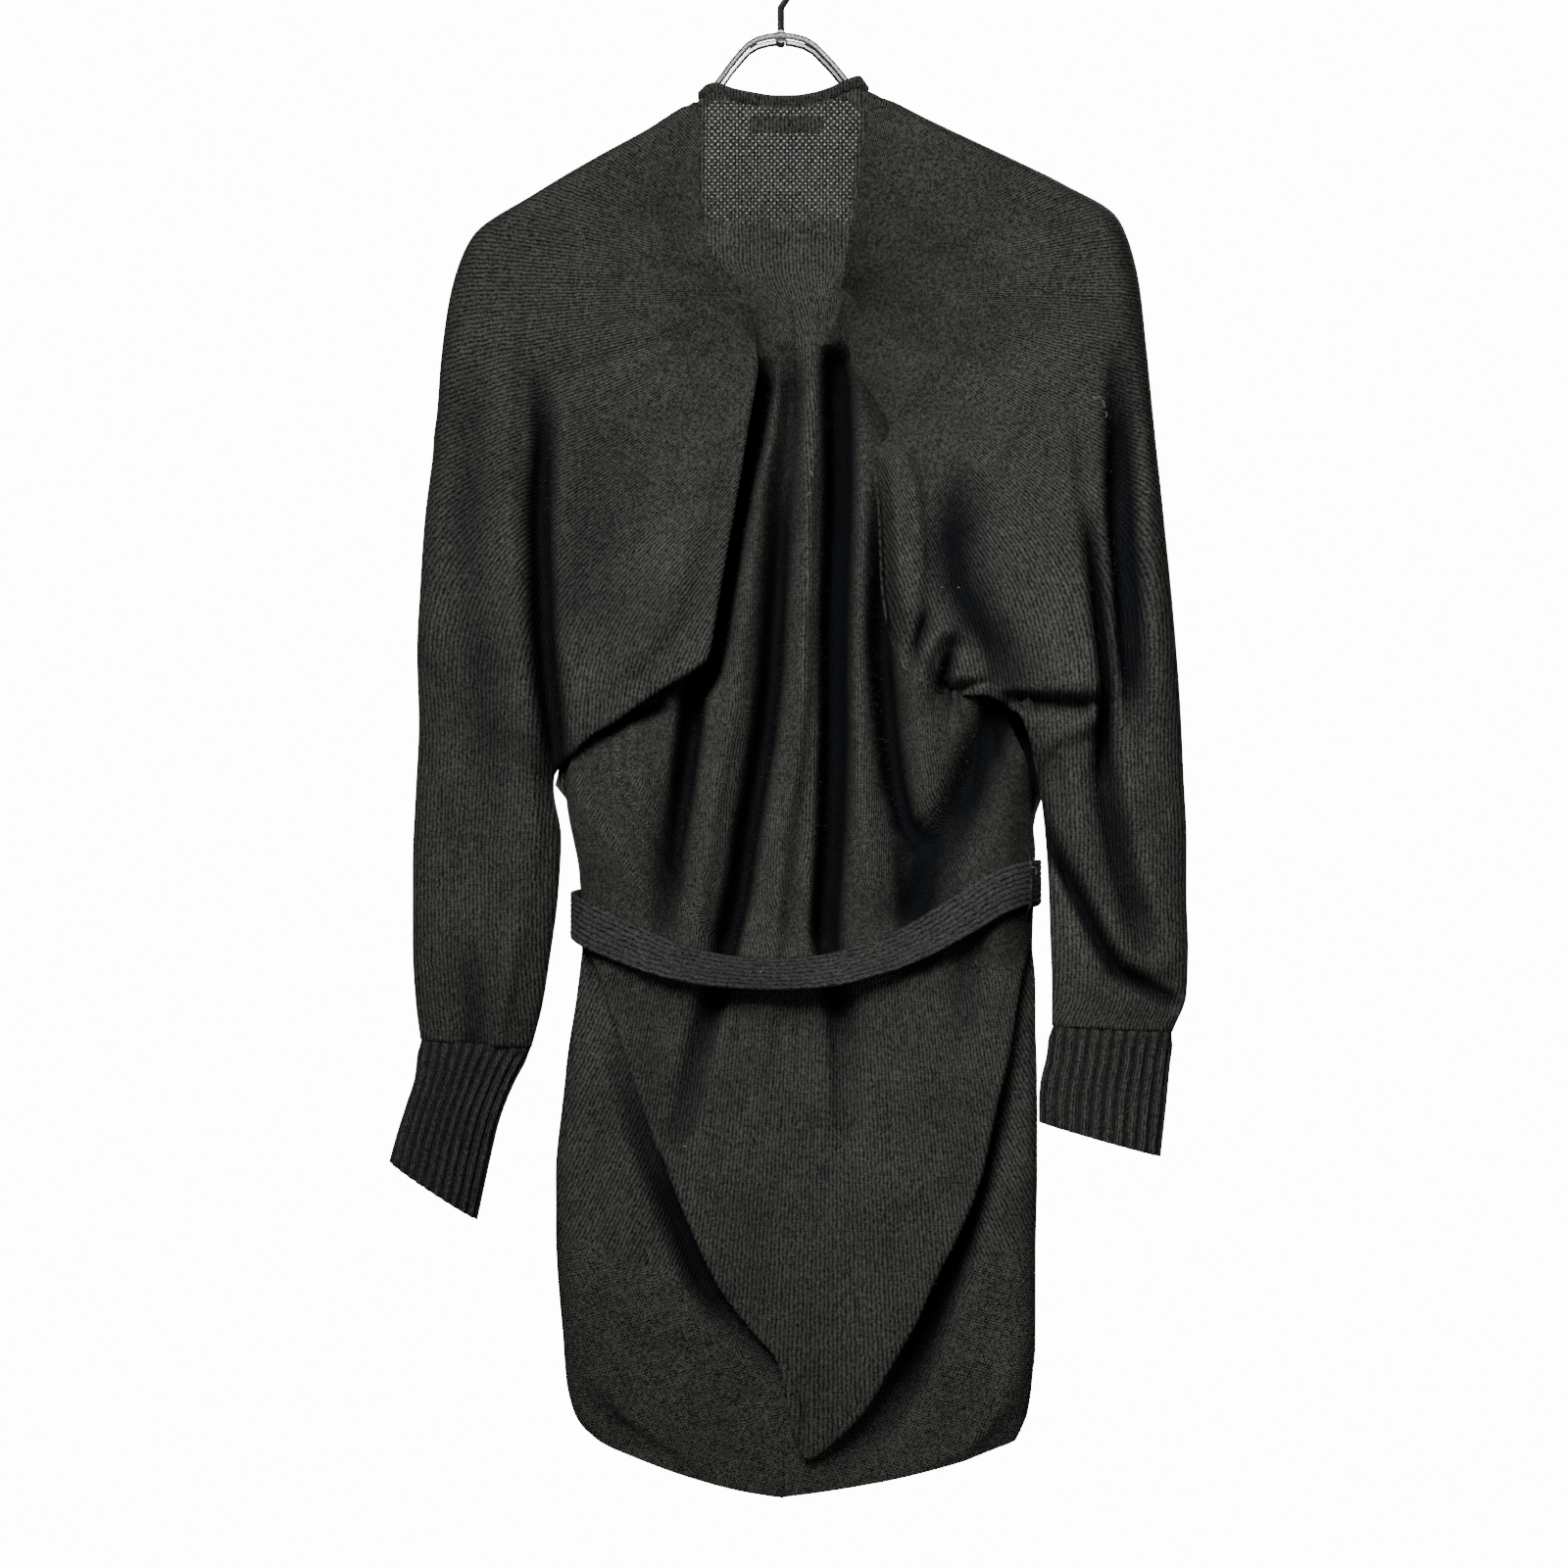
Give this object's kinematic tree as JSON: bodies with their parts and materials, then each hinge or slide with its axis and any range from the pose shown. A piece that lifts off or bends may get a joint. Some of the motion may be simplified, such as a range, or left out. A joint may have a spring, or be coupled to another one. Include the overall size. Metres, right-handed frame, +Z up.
{
  "type": "long cardigan on a hanger",
  "caption": "Long knitted cardigan with batwing sleeves, gathered centre back, sash belt and wrapped hem, hanging on a double-wire hanger.",
  "frame": {"origin": "where the inside of the hanger's hook rests on its rail", "axes": "+Z up, +X towards the wearer's right, -Y out of the cardigan's back"},
  "size_m": [0.5139, 0.1139, 1.0096],
  "materials": {
    "wool": "soft knitted wool",
    "rib_wool": "ribbed knitted wool",
    "label": "plain woven label",
    "chrome": "polished"
  },
  "bodies": {
    "root": {"back": "wool", "left_sleeve": "wool", "right_sleeve": "wool", "left_front": "wool", "right_front": "wool", "left_hem": "wool", "right_hem": "wool", "left_cuff": "rib_wool", "right_cuff": "rib_wool", "neckband": "rib_wool", "neck_label": "label", "belt": "wool", "belt_knot": "wool", "belt_tail_left": "wool", "belt_tail_right": "wool", "belt_loop_left": "rib_wool", "belt_loop_right": "rib_wool", "hanger_rods": "chrome", "hanger_bridge": "chrome", "hanger_hook": "chrome"}
  },
  "joints": []
}
